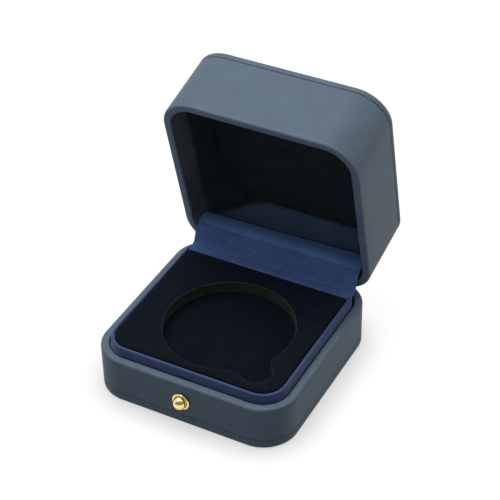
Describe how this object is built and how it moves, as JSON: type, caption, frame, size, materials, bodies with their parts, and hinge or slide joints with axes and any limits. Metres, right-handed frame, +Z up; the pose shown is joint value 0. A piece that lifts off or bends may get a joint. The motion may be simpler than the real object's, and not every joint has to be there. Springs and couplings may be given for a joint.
{
  "type": "coin display case",
  "caption": "Hinged rounded square display case, open, with a padded velvet insert, a round recess with a finger notch, and a push button on the front.",
  "frame": {"origin": "centre of the base's underside, on the surface the case stands on", "axes": "+Z up; -Y out of the front, where the button is; +X to the right seen from the front; the hinge axis runs along X at the back; the lid is open"},
  "size_m": [0.08, 0.1109, 0.1021],
  "materials": {
    "leatherette": "satin fine grain, slate blue grey",
    "suede": "short blue nap",
    "velvet": "deep navy velvet",
    "board": "matte moulded core",
    "foam": "matte dark foam",
    "gold": "polished gold colour",
    "steel": "plain",
    "dark_steel": "blackened"
  },
  "bodies": {
    "base": {"base_bottom_plate": "leatherette", "base_frame": "board", "base_cover": "leatherette", "base_collar": "suede", "insert_support_block": "foam", "recess_floor_board": "velvet", "pad_foam_layer": "foam", "pad_velvet_cover": "velvet", "base_hinge_ledge": "board", "base_hinge_leaf": "steel", "hinge_pin": "steel", "base_hinge_rivet_1": "steel", "base_hinge_rivet_2": "steel", "hinge_cover_strip": "suede", "button_bezel": "gold", "bezel_retainer": "steel", "latch_bracket": "dark_steel", "button_return_spring": "steel"},
    "button": {"push_button": "gold", "latch_plate": "dark_steel", "latch_clip": "steel"},
    "lid": {"lid_top_panel": "leatherette", "lid_frame": "board", "lid_cover": "leatherette", "lid_wall_lining": "velvet", "lid_ceiling_pad": "velvet", "lid_rear_lining": "suede", "lid_hinge_board": "board", "lid_hinge_leaf": "steel", "lid_hinge_rivet_1": "steel", "lid_hinge_rivet_2": "steel", "lid_keeper_plate": "steel"}
  },
  "joints": [
    {"name": "lid_hinge", "type": "hinge", "parent": "base", "child": "lid", "pos_m": [0, 0.038, 0.0196], "axis": [1, 0, 0], "range_deg": [0, 76.4], "deforming": ["hinge_cover_strip"]},
    {"name": "button_press", "type": "slide", "parent": "base", "child": "button", "axis": [0, 1, 0], "range_m": [0, 0.001], "stiffness_N_per_m": 300, "springref_m": -0.002, "deforming": ["button_return_spring"]}
  ]
}
